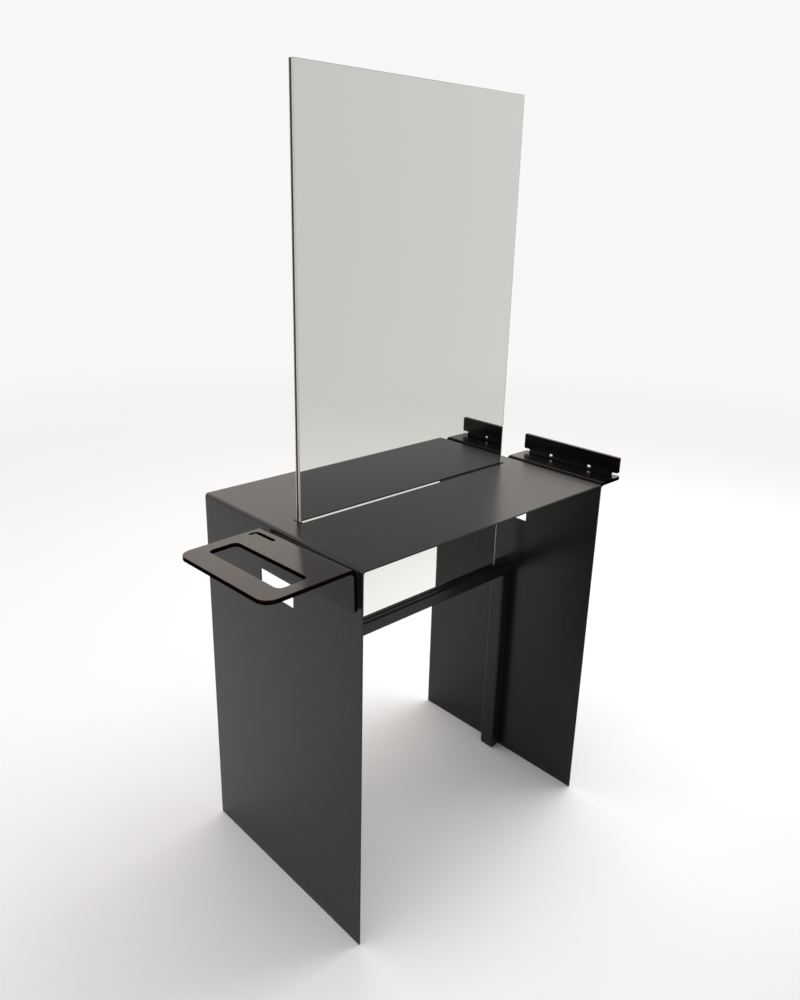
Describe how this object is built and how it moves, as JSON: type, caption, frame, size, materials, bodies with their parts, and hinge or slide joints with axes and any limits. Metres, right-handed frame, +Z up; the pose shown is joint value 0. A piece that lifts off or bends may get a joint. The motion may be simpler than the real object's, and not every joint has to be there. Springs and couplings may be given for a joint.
{
  "type": "salon styling station",
  "caption": "Double-sided salon styling station: folded black steel table with a tall mirror standing through its top, and magnetic side trays for tools and clippers.",
  "frame": {"origin": "on the floor under the middle of the table, in the plane between the mirror's two panes", "axes": "+X to the right side panel and +Y to the rear, for someone who faces the mirror from the front; +Z up"},
  "size_m": [0.9765, 0.504, 1.612],
  "materials": {
    "black_powder_coat": "satin black powder coat with a fine orange-peel texture",
    "mirror_glass": "silvered clear glass with polished edges",
    "black_acrylic": "polished black cast acrylic with laser-cut edges",
    "black_rubber": "dull black rubber",
    "magnet_nickel": "nickel-plated disc",
    "black_plastic": "moulded black plastic",
    "bond_film": "matt grey backing film"
  },
  "bodies": {
    "frame": {"table_shell": "black_powder_coat", "crossbar_tube": "black_powder_coat", "leg_tube_left": "black_powder_coat", "leg_tube_right": "black_powder_coat", "foot_cap_left": "black_plastic", "foot_cap_right": "black_plastic", "mirror_pane_front": "mirror_glass", "mirror_pane_rear": "mirror_glass", "mirror_bond_sheet": "bond_film", "glazing_channel": "black_rubber", "setting_block_left": "black_plastic", "setting_block_right": "black_plastic", "slot_end_guard_left": "black_rubber", "slot_end_guard_right": "black_rubber"},
    "left_tray": {"tool_tray": "black_acrylic", "tool_tray_pad": "black_rubber", "tool_tray_magnet_1": "magnet_nickel", "tool_tray_magnet_2": "magnet_nickel", "tool_tray_magnet_3": "magnet_nickel"},
    "right_tray": {"clipper_tray": "black_acrylic", "clipper_tray_pad": "black_rubber", "clipper_tray_magnet_1": "magnet_nickel", "clipper_tray_magnet_2": "magnet_nickel", "clipper_tray_magnet_3": "magnet_nickel"}
  },
  "joints": [
    {"name": "tool_tray_slide", "type": "slide", "parent": "frame", "child": "left_tray", "axis": [0, 1, 0], "range_m": [-0.006, 0.22]},
    {"name": "clipper_tray_slide", "type": "slide", "parent": "frame", "child": "right_tray", "axis": [0, 1, 0], "range_m": [-0.006, 0.22]}
  ]
}
